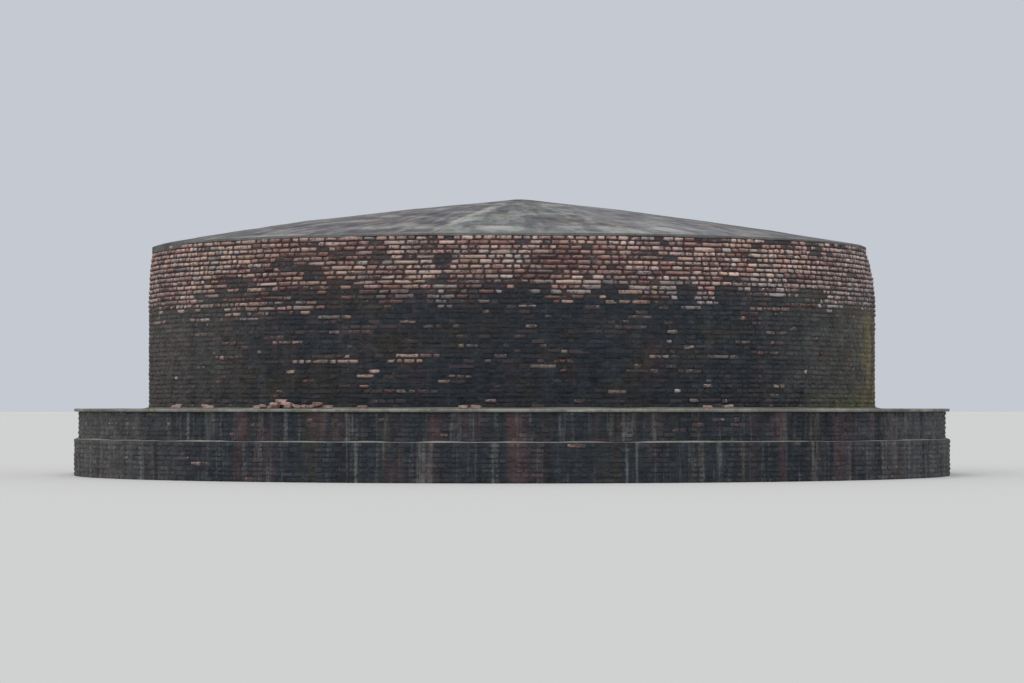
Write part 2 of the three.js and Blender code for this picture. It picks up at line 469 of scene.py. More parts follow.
def brickShells(draw, bricks, face):
    # Over each face, s and t run from -1 to 1: bearing = b + s half / R, height = z + t halfHeight + wave,
    # and radius = wall + proud, less rounded edges, a spalled end, a chipped corner and a tilt. The outer
    # ring dives into the wall, and the corners are drawn in.
    side, wayIn = brickShape["side"][None, :, None], brickShape["wayIn"][None, :, None]
    t = brickShape["up"][None, None, :]
    one = np.ones((len(bricks["half"]), 1, 1))
    each = {key: values[:, None, None] for key, values in bricks.items()}
    s = side * (1 - wayIn / each["half"])
    halfHeight = brickShape["height"] / 2 * (1 + brickShape["heightSpread"] * draw.standard_normal(one.shape))
    root = ((side != 0) & (wayIn == 0)) | (np.abs(t) == 1)
    nearEnd, nearBed = np.abs(side) * smooth(wayIn, 0.026, 0.004), smooth(np.abs(t), 0.4, 0.9)
    rough = draw.standard_normal((len(one), s.shape[1], t.shape[2]))
    wear = np.minimum(brickShape["roundedEdge"], 0.45 * each["proud"])
    depth = each["proud"] - wear * (nearEnd + nearBed + 1.2 * nearEnd * nearBed)
    for tilt, across in zip(brickShape["tilt"], (s, t)):
        depth = depth + tilt * across * draw.standard_normal(one.shape)
    end = np.where(draw.random(one.shape) < 0.5, -1, 1)
    bed = np.where(draw.random(one.shape) < 0.4, -1, 1)
    depth = depth - each["spall"] * smooth(s * end, 0.2, 0.9)
    depth = depth - each["chip"] * smooth(s * end, 0.3, 0.9) * smooth(t * bed, -0.3, 0.8)
    depth = np.where(root, -brickShape["embedded"], depth + brickShape["roughness"] * rough)

    def jitter():
        # Small random moves of the points in front of the wall
        return brickShape["jitter"] * draw.standard_normal(rough.shape) * ~root

    inAlong, inHeight = brickShape["drawnIn"]
    corner = nearEnd * nearBed * np.abs(draw.standard_normal(rough.shape))
    along = s * each["half"] + jitter() - inAlong * side * corner
    height = each["height"] + t * halfHeight + jitter()
    height = height - inHeight * np.sign(t) * corner + brickShape["lift"] * draw.standard_normal(one.shape)
    height = height + brickShape["wave"] * patches(51, each["bearing"], each["height"], 1.8, 0.35)
    height = np.maximum(height, 0.001)  # none goes under the ground
    wall = face(each["bearing"], each["height"])
    points = onWall(wall + depth, each["bearing"] + along / wall, height)

    columns, rows = rough.shape[1:]
    index = np.arange(columns * rows).reshape(columns, rows)
    front = np.stack([index[:-1, :-1], index[1:, :-1], index[1:, 1:], index[:-1, 1:]], -1).reshape(-1, 4)
    ring = np.concatenate([index[:, 0], index[-1, 1:], index[-2::-1, -1], index[0, -2:0:-1]])[::-1]
    faces = copied([front, ring[None]], len(one), columns * rows)
    return points.reshape(-1, 3), faces, brickMap(len(one), front, ring)


mapCell = {"margin": 0.02, "front": (0.05, 0.75), "back": (0.8, 0.96)}


def brickMap(count, front, ring):
    # Each brick has a cell of the map: its front fills the lower part, and its hidden back a strip above
    wide = math.ceil(math.sqrt(count / 3))
    tall = math.ceil(count / wide)
    place = np.arange(count)
    corner = np.stack([place % wide, place // wide], -1)[:, None, None]
    rows = len(brickShape["up"])

    def within(index, low, high):
        # Straight across the cell between its margins, and straight up from low to high
        margin = mapCell["margin"]
        across = margin + (1 - 2 * margin) * (index // rows) / (len(brickShape["side"]) - 1)
        up = low + (high - low) * (index % rows) / (rows - 1)
        return np.stack([across, up], -1)

    size = np.array([wide, tall])
    fronts = (corner + within(front, *mapCell["front"])[None]) / size
    backs = (corner[:, 0] + within(ring, *mapCell["back"])[None]) / size
    return np.concatenate([fronts.reshape(-1, 2), backs.reshape(-1, 2)])


# Where clay shows on the drum. The clean upper band ends at a ragged line, given as courses below the
# cap at some bearings in degrees; the band's paleness also goes by bearing, as painted light that makes
# the right side brighter and as the band's own darker patches. A group of four bearings says where a
# change starts, is full, is full to and ends.
cleanBand = {
    "line": [
        (-180, 11.5), (-150, 13.5), (-120, 11.5), (-90, 12.5), (-60, 13.5), (-40, 14.2), (-28, 13.5),
        (-23, 12), (-14, 14), (-8, 12.5), (-3, 10.4), (4, 9.7), (8, 13), (14, 10), (18, 10.4), (22, 12.8),
        (26, 10.6), (30, 12.5), (35, 10.8), (45, 11.2), (57, 13), (75, 12.8), (90, 12.5), (120, 11),
        (150, 13.2), (180, 11.5),
    ],
    "ragged": 1.3,
    "wander": 1.5,  # in courses
    "crisp": (-105, -85, -50, -38),  # the line is sharper on the left flank
    "greyer": (-25, 10, 80, 110),  # more grey bricks by the line
    # by bearing: painted light that brightens the right side, and the band's own darker patches on the left
    "palenessAndPaintedLight": [
        (-180, 1), (-90, 1.13), (-60, 1.08), (-40, 0.93), (-25, 0.84), (-10, 0.94), (5, 1.02), (20, 1.17),
        (35, 1.34), (50, 1.34), (70, 1.24), (90, 1.1), (180, 1),
    ],
    "paleFlank": (30, 45, 80, 110),  # to each side
}
# Marks in the clean band: the soot on them from 0 to 1, the tone that their bricks take, and their places
# as bearing in degrees, first and last course below the cap, and reach to each side
bandMarks = {
    "darkened": (0.8, 0.4, [
        (-47, 8, 12, 7.5), (51, 10, 12, 3), (-31, 6, 8, 2.2), (-30, 10, 13, 4), (-24.5, 9, 13, 2.7),
        (-13.5, 10, 14, 1), (-10.5, 3, 9, 1), (34, 8, 13, 2), (135, 8, 11, 5), (-150, 6, 10, 4),
    ]),
    "dull": (0.55, 0.45, [
        (-36, 4, 6, 2), (-30.5, 0, 3, 1.5), (-20.5, 3, 5, 1.2), (7.5, 1, 4, 1), (23.5, 0, 4, 1),
        (43.5, 0, 1, 3), (54.5, 0, 3, 3.2), (62, 0, 0, 4), (110, 3, 6, 4), (170, 1, 4, 3), (-120, 2, 4, 3),
        (-90, 5, 8, 5),
    ]),
    "greyed": (0.88, 0.88, [(2, 10, 13, 2.3), (16, 10, 13, 3), (26, 10, 13, 1.7)]),
    "ochre": (0, 0.75, [
        (-54, 4, 7, 4.5), (-31, 8, 10, 3.2), (-14, 3, 9, 2.2), (35, 0, 1, 3.3), (40, 3, 5, 2.7),
    ]),
    "red": (0, 0.36, [(13.5, 2, 7, 3), (-37, 1, 4, 4.5), (7, 5, 8, 2.5), (60, 2, 5, 3)]),
}
# Runs of brick that show in the dark wall: their bareness and tone, and their places as bearing in
# degrees, course below the cap and reach to each side
bareRuns = {
    "pale": (0.8, 0.62, [
        (-46, 15, 1.5), (-28.5, 25, 5.4), (-21, 27, 1), (-21, 28, 1), (28.5, 32, 0.6), (65, 26, 1),
        (-140, 27, 2),
    ]),
    "pink": (0.63, 0.66, [
        (-72, 16, 4), (-56, 16, 1), (-66, 12, 7), (-53, 13, 6), (-43, 14, 4), (-35, 21, 2.5),
        (-35, 27, 1.2), (-9, 29, 1.3), (-3, 33, 1.4), (41, 14, 4), (105, 19, 2), (175, 29, 2),
    ]),
    "red": (0.62, 0.36, [
        (-13.5, 24, 4.1), (-43.5, 12, 5), (-42, 11, 3.5), (-18.5, 13, 1.4), (-18, 14, 1.2),
        (-7.5, 28, 1.3), (6.5, 13, 1.2), (6, 12, 1.4), (9.5, 12, 1.3), (7.5, 25, 1.3), (7.5, 27, 1),
        (21.5, 12, 1.7), (49, 13, 4), (-165, 22, 3),
    ]),
    "faint red": (0.48, 0.28, [
        (-72, 24, 7), (-47, 24, 3), (-46, 21, 2.5), (-38, 20, 2.2), (-31, 29, 1.6), (-27, 24, 3.5),
        (-21, 19, 0.8), (-19, 31, 3), (-18, 33, 2.6), (30, 19, 1.3), (37, 15, 1.3), (54.5, 21, 1.8),
        (55, 23, 1.6), (-100, 24, 3), (128, 25, 3),
    ]),
    "ochre": (0.76, 0.76, [(-15.5, 24, 1.6), (-15.5, 25, 2.3), (21.5, 24, 1.4), (15.5, 31, 1.3)]),
    "grey": (0.88, 0.88, [
        (-49, 24, 0.6), (-25, 24, 0.5), (-20.5, 26, 0.5), (6, 9, 1.4), (17.5, 9, 0.7), (15.5, 13, 1.5),
        (20.3, 19, 0.7), (23.5, 19, 0.5), (23.5, 21, 0.5), (27, 14, 0.4), (27, 33, 0.6), (29, 12, 0.9),
        (43, 30, 1.7), (150, 17, 1.5),
    ]),
    "faint grey": (0.53, 0.88, [
        (-53, 19, 2.5), (-40.5, 23, 0.9), (-26, 16, 1.8), (-15.5, 17, 0.8), (-15, 31, 1.2),
        (-7, 22, 1.7), (-4, 15, 0.6), (-3, 25, 0.6), (3, 18, 0.6), (4.5, 26, 0.6), (30, 29, 0.6),
        (33, 24, 2), (36, 21, 1.4), (39, 28, 0.7), (39.5, 17, 1.8), (41, 23, 3.4), (43, 19, 2.4),
        (43, 21, 1.7), (51, 12, 1.7), (53, 24, 0.9), (-118, 20, 2),
    ]),
}
# How bare bricks are, and how many
drumWear = {
    "clean": (0.62, 1.0),
    "cleanChance": (0.98, 0.45),  # above the line, and how much less in a dull patch
    "strayChance": 0.004,  # of a clean brick, added everywhere
    "thin": 0.42,  # the most that a thin crust lets through
    "thinChance": (0.22, 0.3, 0.5),  # anywhere, and added in a cluster and above the line
    "dim": (0.29, 0.58),  # for the crusted bricks about and above the line
    "dimChance": 0.95,
    "greyTones": (0.82, 1.0),
    "greyChance": 0.8,
    "runPaleness": (0.73, 0.1),  # on the left, and how much less elsewhere
}


def weatherDrum(draw, bricks, tone):
    # Each brick's chance of being bare falls across the ragged line, and inside dark marks above it.
    # A bare brick has 0.6 to 1, and a crusted one up to 0.58 where the crust is thin, mostly near or
    # above the line. Returns bareness, tone and paleness, with painted light brightening the right.
    bearing, height = bricks["bearing"], bricks["height"]
    degrees = np.degrees(bearing)
    total = len(degrees)
    below = np.round((drumTop - height) / course - 0.5)  # courses below the cap
    at, line = np.array(cleanBand["line"]).T
    crisp = between(degrees, *cleanBand["crisp"])
    wander = (cleanBand["wander"] - crisp) * patches(11, bearing, height, 0.9, 0.3)
    inside = (np.interp(degrees, at, line) + wander - below) * (1 + 1.2 * crisp)  # courses above the line
    above = smooth(inside, -2 * cleanBand["ragged"], 2 * cleanBand["ragged"])
    dull = smooth(patches(12, bearing, height, 0.7, 0.2) + 0.3 * draw.standard_normal(total), 0.5, 1.0)
    usual, inDull = drumWear["cleanChance"]
    chance = above * (usual - inDull * dull) + drumWear["strayChance"]
    grey = 0.5 + 0.5 * between(degrees, *cleanBand["greyer"])
    grey = grey * smooth(inside, 4.5 + 2 * smooth(degrees, 30, 50), 1) * drumWear["greyChance"]
    tone = np.where(draw.random(total) < grey, draw.uniform(*drumWear["greyTones"], total), tone)
    seen = np.ones(total)  # how much of the thin crust's clay the soot leaves
    for darkening, own, places in bandMarks.values():
        for middle, first, last, reach in places:
            away = np.abs(degrees - middle) / reach + 0.25 * draw.standard_normal(total)
            marked = (away < 1) & (below >= first) & (below <= last)
            chance = np.where(marked, chance * (1 - darkening), chance)
            seen = np.where(marked, 1 - 0.65 * darkening, seen)
            tone = np.where(marked, own + 0.07 * draw.standard_normal(total), tone)
    cluster = smooth(patches(13, bearing, height, 1.6, 0.25), 0.1, 0.8)
    cluster = cluster * (1 + smooth(np.sin(bearing), 0, -0.5))
    anywhere, inCluster, overLine = drumWear["thinChance"]
    thin = draw.uniform(0, drumWear["thin"], total)
    thin = thin * (draw.random(total) < anywhere + inCluster * cluster + overLine * above)
    dim = smooth(inside, -3, 1) * draw.uniform(*drumWear["dim"], total)
    thin = np.where(draw.random(total) < drumWear["dimChance"] * smooth(inside, -3.5, 0.5), dim, thin)
    bare = np.where(draw.random(total) < chance, draw.uniform(*drumWear["clean"], total), thin * seen)
    # paleness by bearing holds painted light brightening the right side, and the band's own darker patches
    palenessAndPaintedLight = np.interp(degrees, *np.array(cleanBand["palenessAndPaintedLight"]).T)
    flank = between(np.abs(degrees), *cleanBand["paleFlank"])
    lowest = smooth(inside, 4, 2) * (0.1 + 0.18 * smooth(np.abs(degrees), 30, 15))
    palenessAndPaintedLight = palenessAndPaintedLight * (1 + 0.12 * flank * smooth(below, 7, 4)) * (1 - lowest)
    onLeft, less = drumWear["runPaleness"]
    for bareness, own, places in bareRuns.values():
        for middle, row, reach in places:
            run = (np.abs(degrees - middle) < reach) & (below == row)
            bare = np.where(run, bareness + 0.08 * draw.standard_normal(total), bare)
            tone = np.where(run, own + 0.05 * draw.standard_normal(total), tone)
            palenessAndPaintedLight = np.where(run, onLeft - less * smooth(degrees, -25, -5), palenessAndPaintedLight)
    return np.clip(bare, 0, 1), tone, palenessAndPaintedLight


# The platform's thin crust: its chance anywhere, and added in a cluster, and how bare it leaves a brick
platformWear = {"thinChance": (0.03, 0.2), "thin": (0.1, 0.46)}


def weatherPlatform(draw, bricks, tone):
    # Almost all crust, with a few thin or bare places in clusters
    cluster = smooth(patches(21, bricks["bearing"], bricks["height"], 1.8, 0.3), 0.2, 0.9)
    anywhere, inCluster = platformWear["thinChance"]
    thin = draw.random(len(tone)) < anywhere + inCluster * cluster
    return thin * draw.uniform(*platformWear["thin"], len(tone)), tone, 1.0


# A tone or shade is a middle value, changed from patch to patch and from brick to brick; a spalled end or
# a chipped corner has a share of the bricks, a least depth and a greatest one
brickWear = {
    "tone": (0.5, 0.24, 0.2),
    "shade": (1.02, 0.12, 0.14),
    "uneven": (0.003, 0.004),  # how far bricks, and patches of them, stand out from the others
    "spall": (0.12, 0.004, 0.016),
    "chip": (0.25, 0.01, 0.03),
}


def wallPieces(name, slot, material, seed, weather, level, count, perPiece, face, proud):
    # One wall's bricks, in pieces of some courses each. A brick stands out by a least amount, and by
    # another times its bareness.
    draw = np.random.default_rng(seed)
    bricks = layCourses(draw, level, count, face)
    bearing, height = bricks["bearing"], bricks["height"]
    total = len(bearing)

    def varied(middle, broad, own, pattern):
        # middle + broad x patches + own x a random number
        return middle + broad * pattern + own * draw.standard_normal(total)

    def onSome(share, least, greatest):
        # A depth for a share of the bricks, and none for the others
        return np.where(draw.random(total) < share, draw.uniform(least, greatest, total), 0)

    tone = varied(*brickWear["tone"], patches(53, bearing, height, 0.9, 0.25))
    bricks["bare"], tone, palenessAndPaintedLight = weather(draw, bricks, tone)
    least, more = proud
    single, broad = brickWear["uneven"]
    bricks["proud"] = least + more * bricks["bare"] + single * draw.standard_normal(total)
    bricks["proud"] = np.maximum(bricks["proud"] + broad * patches(52, bearing, height, 1.8, 0.6), 0.003)
    bricks["spall"] = onSome(*brickWear["spall"])
    bricks["chip"] = onSome(*brickWear["chip"])
    bricks["tone"] = np.clip(tone, 0, 1)
    shade = varied(*brickWear["shade"], patches(54, bearing, height, 0.7, 0.2))
    # the shade attribute takes the paleness, painted light included
    bricks["shade"] = np.clip(palenessAndPaintedLight * shade - 0.25 * smooth(bricks["bare"], 0.75, 0.5), 0.5, 1.6)
    for part, firstRow in enumerate(range(0, count, perPiece)):
        chosen = (bricks["row"] >= firstRow) & (bricks["row"] < firstRow + perPiece)
        some = {key: values[chosen] for key, values in bricks.items()}
        points, faces, maps = brickShells(draw, some, face)
        each = len(points) // len(some["half"])
        attributes = {key: np.repeat(some[key], each) for key in ("bare", "tone", "shade")}
        wayIn = np.where(brickShape["side"] == 0, some["half"][:, None], brickShape["wayIn"])
        attributes["inset"] = np.repeat(wayIn, len(brickShape["up"]), 1)  # metres from the nearer end
        rise = np.tile(brickShape["up"], len(brickShape["side"]))
        attributes["rise"] = np.tile(rise, len(some["half"]))  # -1 at the lower edge, 1 at the upper
        makePiece(f"{name}_{part + 1}", points, faces, material, (), attributes, maps)
    print(name, total, "bricks")


drumBrick = brickMaterial("worn_brick", "drum")
platformBrick = brickMaterial("streaked_brick", "platform")
drumMortar = crustedMortar("crusted_mortar", "drum")
platformMortar = crustedMortar("streaked_mortar", "platform")
rebuiltMortar = mortarMaterial("sooty_mortar", paint(67, 55, 55), paint(104, 93, 89), oldTop)
rubble = mortarMaterial("brick_rubble", paint(96, 76, 66), paint(120, 110, 100))
print("brick and mortar materials ready")


def rowsIn(low, high):
    # Courses between two levels
    return round((high - low) / course)


def steady(radius):
    # The face of an upright wall: one radius for every bearing and height
    return lambda bearing, height: radius + 0 * (bearing + height)


walls = {
    "plinth_bricks": {
        "slot": "old_brick", "material": platformBrick, "seed": 1, "weather": weatherPlatform,
        "level": 0, "count": rowsIn(0, plinthTop), "perPiece": 4,
        "face": steady(plinthRadius), "proud": (0.0045, 0.008),
    },
    "platform_bricks": {
        "slot": "old_brick", "material": platformBrick, "seed": 2, "weather": weatherPlatform,
        "level": plinthTop, "count": rowsIn(plinthTop, platformTop), "perPiece": 3,
        "face": steady(platformRadius), "proud": (0.0045, 0.008),
    },
    "drum_old_bricks": {
        "slot": "old_brick", "material": drumBrick, "seed": 3, "weather": weatherDrum,
        "level": terraceTop, "count": rowsIn(terraceTop, oldTop), "perPiece": 5,
        "face": drumFace, "proud": (0.005, 0.011),
    },
    "drum_rebuilt_bricks": {
        "slot": "rebuilt_brick", "material": drumBrick, "seed": 4, "weather": weatherDrum,
        "level": oldTop, "count": rowsIn(oldTop, drumTop), "perPiece": 5,
        "face": drumFace, "proud": (0.007, 0.013),
    },
}
for name, wall in walls.items():
    wallPieces(name, **wall)


# Surfaces of revolution
def turnedFaces(rows, columns, closed):
    # A grid that wraps round the axis; closed also wraps the profile, and otherwise it ends in two poles
    index = np.arange(rows * columns).reshape(rows, columns)
    after = np.roll(index, -1, 1)
    lower, upper = (index, np.roll(index, -1, 0)) if closed else (index[:-1], index[1:])
    lowerNext, upperNext = (after, np.roll(after, -1, 0)) if closed else (after[:-1], after[1:])
    faces = [np.stack([lower, lowerNext, upperNext, upper], -1).reshape(-1, 4)]
    if not closed:
        bottom, top = rows * columns, rows * columns + 1
        fan = np.full(columns, bottom), after[0], index[0]
        lid = np.full(columns, top), index[-1], after[-1]
        faces.append(np.concatenate([np.stack(fan, -1), np.stack(lid, -1)]))
    return faces


def makeRing(name, radius, bearing, height, material, replaced=()):
    # A closed profile carried round the axis, one row for each of its points. The material reads how far
    # out each point is.
    points = onWall(radius, bearing, height).reshape(-1, 3)
    faces = [group[:, ::-1] for group in turnedFaces(*radius.shape, True)]
    makePiece(name, points, faces, material, replaced, {"out": radius.ravel()})
    print(name, len(points), "points")


capLook = {
    "overhang": 0.025,
    "edge": 0.045,
    "rounding": (0.003, 0.012, 0.997),  # heights near a corner, and the share of the radius at the first
    "beneath": (0.6, 0.97),  # rows of the flat underside, as shares of the radius
    "innermost": 0.025,  # the same for the last row before the apex
    "rows": (35, 0.006, 1.15),  # up the slope: how many, a share of the radius, and its growth with each
    "chip": 0.03,
    "hang": 0.012,  # how far the lower corner hangs, more or less
    "droop": (0.075, -115, -100, -67, -58),  # how far the edge hangs over the bricks, and at which bearings
    "bulge": (0.045, 0.055),  # everywhere, and added towards the left
    "apexShift": 0.2,  # towards the right
    "firstJoint": -11.6,  # degrees from the front
    # places across half a bay, closer together by the joint
    "across": (
        0, 0.004, 0.009, 0.018, 0.035, 0.065, 0.1, 0.14, 0.18, 0.22, 0.26, 0.3, 0.34, 0.38, 0.42, 0.46,
    ),
    "tints": (0.5, 0.85, 1.0, 0.55, 0.2, 0.7, 0.4, 0.9, 0.3, 0.65, 0.15, 0.05),  # one bay each, to the right
    "bayLift": 0.008,
    "sag": 0.02,
    "groove": (0.014, 0.03),  # depth, and half its width
    "undulation": (0.014, 0.005),  # broad and small
    "lime": (0.9, 0.1, 0.3, 0.5, 0.7, 0.3, 0.6, 0.2, 0.5, 0.7, 0.3, 0.15),  # pale run at each joint
    "atPoles": {"tint": 0.5, "lime": 0.5},  # the other values are 0 there
    # Pale and dark marks: bearing, radius, their reach in degrees and in metres, and from -1 for dark to 1
    "marks": [
        (-16, 5.8, 4.5, 0.25, 0.7), (-2.5, 5.8, 4, 0.25, 0.6), (10, 5.7, 7, 0.25, 0.5),
        (26.5, 6.0, 3, 0.4, 1.1), (-30, 1.0, 25, 0.4, 0.7), (20, 2.2, 18, 0.5, 0.5),
        (-40, 4.8, 9, 0.5, 0.5), (-28, 3.4, 9, 0.5, -0.7), (64, 3.2, 9, 1.1, -0.6),
        (78, 6.4, 14, 0.3, -0.6), (-76, 6.35, 13, 0.45, -1.0), (-48, 6.2, 5, 0.4, -0.6),
        (8, 4.7, 8, 0.5, -0.6), (-33, 6.2, 8, 0.4, -0.4), (40, 5.4, 9, 0.5, -0.3),
        (30, 4.9, 12, 0.9, 0.35), (130, 5.2, 10, 0.6, -0.6), (-120, 4.6, 10, 0.6, 0.6),
    ],
}


def capHeight(share, bearing):
    # A cone with a slight bulge, 4 b s (1 - s), where b is larger on the left
    rise = apexTop - drumTop - capLook["edge"]
    usual, towardsLeft = capLook["bulge"]
    bulge = usual - towardsLeft * np.minimum(np.sin(bearing), 0)
    return capLook["edge"] + rise * (1 - share) * (1 + 4 * bulge * share)


def makeCap(material):
    # Over each bay: height = cone with a slight bulge, less the bay's own sag, less a groove along its
    # joints, plus broad and small undulations. The rim has a rounded, chipped edge and a flat underside.
    bays = len(capLook["tints"])
    edge = capLook["edge"]
    small, large, inner = capLook["rounding"]
    onEdge = np.array([0, 0, small, large, edge - large, edge - small])
    count, step, growth = capLook["rows"]
    upSlope = 1 - step * growth ** np.arange(1, count + 1)
    atRim = [*capLook["beneath"], inner, 1, 1, inner]
    share = np.concatenate([atRim, upSlope, [capLook["innermost"]]])[:, None]
    half = np.array(capLook["across"])
    steps = np.concatenate([half, [0.5], 1 - half[:0:-1]])
    bay = 2 * math.pi / bays
    bearing = (math.radians(capLook["firstJoint"]) + (np.arange(bays)[:, None] + steps) * bay).ravel()[None]
    turned = (np.degrees(bearing) + 180) % 360 - 180
    within = np.tile(steps, bays)[None]
    number = np.repeat(np.arange(bays), len(steps))[None]

    wander, chip = wornEdge(bearing, (31, 0.5), (32, 0.2), (35, 0.4))
    rim = drumFace(bearing, drumTop) + capLook["overhang"] + wander
    radius = share * rim - capLook["chip"] * chip * smooth(share, 0.98, 1)
    top = capHeight(share, bearing)
    top[: len(onEdge)] = onEdge[:, None]
    droop, *bearings = capLook["droop"]
    lower = slice(2, 4)  # the rows at the edge's lower corner
    top[lower] -= droop * between(turned, *bearings)[0]
    top[lower] -= capLook["hang"] * (1 + ripples(38, bearing, 0.5))[0]
    onTop = smooth(share, 1.0, 0.985) * (np.arange(len(share)) >= len(onEdge))[:, None]
    bayLift = np.random.default_rng(33).normal(0, capLook["bayLift"], bays)[number]
    joint = radius * bay * np.minimum(within, 1 - within)
    deep, wide = capLook["groove"]
    broad, fine = capLook["undulation"]
    height = top - onTop * capLook["sag"] * (4 * within * (1 - within)) * share
    height = height + onTop * (bayLift - deep * np.exp(-((joint / wide) ** 2)))
    height = height + onTop * (broad * patches(34, bearing, 5 + radius, 1.2, 0.9))
    height = height + onTop * (fine * patches(36, bearing, 5 + radius, 0.5, 0.3))
    points = onWall(radius, bearing, drumTop + height)
    shifted = (np.arange(len(share)) >= len(capLook["beneath"]))[:, None]  # all but the underside
    points[..., 0] += capLook["apexShift"] * (1 - share) * shifted
    poles = [[0, 0, drumTop], [capLook["apexShift"], 0, apexTop]]
    points = np.concatenate([points.reshape(-1, 3), poles])

    tint = np.array(capLook["tints"])[number]
    lime = np.array(capLook["lime"])[(number + (within > 0.5)) % bays]
    mark = np.zeros(radius.shape)
    for middle, out, reach, depth, strength in capLook["marks"]:
        mark = mark + strength * np.exp(-((turned - middle) / reach) ** 2 - ((radius - out) / depth) ** 2)
    mark = mark * (1 + 0.6 * patches(37, bearing, 5 + radius, 0.4, 0.3))
    onGrid = {"joint": joint, "rim": share, "tint": tint, "lime": lime, "mark": mark}
    attributes = {
        key: np.append(np.broadcast_to(values, joint.shape), 2 * [capLook["atPoles"].get(key, 0)])
        for key, values in onGrid.items()
    }
    replaced = [f"cap_bay_{side}" for side in sides]
    faces = turnedFaces(*radius.shape, False)
    makePiece("cement_cap", points, faces, material, replaced, attributes)
    print("cement_cap", len(points), "points")


cementLook = {
    "tones": (paint(110, 107, 110), paint(118, 122, 118), paint(127, 126, 128)),
    "pale": paint(182, 180, 172),
    "dark": paint(68, 69, 71),
    "warm": paint(156, 142, 126),
    "violet": paint(102, 97, 101),
}


def cementMaterial():
    # Grey cement in bays of slightly different greys, with warm, violet and pale patches, dark algae,
    # streaks running down the slope, dirty joints with lime beside them, a pale worn rim, and painted
    # shade on the rim's upright edge face
    made, tree, shader, place = startMaterial("weathered_cement")
    tint = maths(tree, "MULTIPLY_ADD", grain(tree, place, 0.9, 4), 0.9, -0.45)
    tint = maths(tree, "ADD", attribute(tree, "tint"), tint)
    darker, middle, paler = cementLook["tones"]
    colour = blend(tree, fade(tree, tint, 0.1, 0.45), darker, middle)
    colour = blend(tree, fade(tree, tint, 0.55, 0.9), colour, paler)
    broad = grain(tree, place, 1.1, 6, 0.64)
    algae = grain(tree, place, 2.0, 6, 0.66)
    # Noise on the direction from the axis changes fast round the cap and slowly down its slope
    flat = put(tree, "Mapping", {"Vector": place, "Scale": (1, 1, 0)}).outputs[0]
    outwards = put(tree, "VectorMath", {0: flat}, operation="NORMALIZE").outputs[0]
    slope = put(tree, "VectorMath", {0: outwards, 1: (14, 14, 14), 2: place}, operation="MULTIPLY_ADD")
    streaks = grain(tree, slope.outputs[0], 1.2, 4, 0.55)
    joint, rim = attribute(tree, "joint"), attribute(tree, "rim")
    wander = maths(tree, "MULTIPLY", grain(tree, place, 1.4, 6, 0.7), 0.9)
    limeRun = overlap(
        tree, fade(tree, maths(tree, "SUBTRACT", joint, wander), -0.3, -0.48), attribute(tree, "lime"),
        fade(tree, rim, 0.97, 0.85), fade(tree, rim, 0.12, 0.26),
    )
    worn = fade(tree, maths(tree, "MULTIPLY_ADD", broad, 0.06, rim), 0.99, 1.02)
    mark = maths(tree, "MULTIPLY_ADD", maths(tree, "SUBTRACT", algae, 0.5), -1.0, attribute(tree, "mark"))
    for over, mask, strength in (
        ("violet", fade(tree, grain(tree, place, 0.7, 4, 0.6), 0.46, 0.58), 0.7),
        ("pale", fade(tree, broad, 0.5, 0.66), 0.5),
        ("warm", fade(tree, grain(tree, place, 1.5, 6, 0.66), 0.52, 0.64), 0.5),
        ("dark", fade(tree, algae, 0.49, 0.68), 0.5),
        ("dark", fade(tree, streaks, 0.5, 0.66), 0.45),
        ("pale", fade(tree, streaks, 0.48, 0.34), 0.3),
        ("pale", limeRun, 0.95),
        ("dark", fade(tree, joint, 0.022, 0.008), 0.9),
        ("pale", worn, 0.3),
        # painted shade on the upright edge face of the rim
        ("dark", fade(tree, rim, 0.9955, 0.9995), 0.6),
        ("pale", fade(tree, mark, 0.15, 0.8), 0.7),
        ("dark", fade(tree, mark, -0.15, -0.8), 0.6),
    ):
        colour = laid(tree, colour, cementLook[over], mask, strength)
    fine = grain(tree, place, 26, 5, 0.72)
    colour = speckled(tree, colour, fine, 0.78, 1.2)
    finishMaterial(tree, shader, colour, ranged(tree, algae, 0.84, 0.97), fine, 0.008)
    return made


makeCap(cementMaterial())


slabLook = {
    "columns": 900,
    # the hidden start and end of the profile: way out from the drum's face, and height over the platform
    "hidden": ((-0.12, 0.002), (0.3, 0.001)),
    # lime banked against the drum: way out from the drum's face, and height over the slab's top
    "bank": ((-0.12, 0.02), (0.02, 0.02), (0.07, 0.004), (0.14, -0.006)),
    "flat": (9, 0.25, 0.14, 0.007),  # rows, from this far out, to this far from the edge, below the top
    # round the edge: way in from it, way down from the top, and how much of its wear shows
    "edge": ((0.07, 0.005, 0.6), (0.022, 0.003, 1), (0.006, 0.007, 1), (0, 0.018, 1), (0.002, 0.038, 1)),
    # back below: way in, way up from the platform, and the same
    "underside": ((0.012, 0.008, 1), (0.03, 0.002, 1), (0.10, 0.001, 0)),
    "setBack": 0.012,  # keeps the wandering edge at the solid's reach
    "chip": 0.06,
    "drop": (0.014, 0.02),  # in a bite, of what is higher over the platform than this
    "uneven": (0.006, 0.003),
}


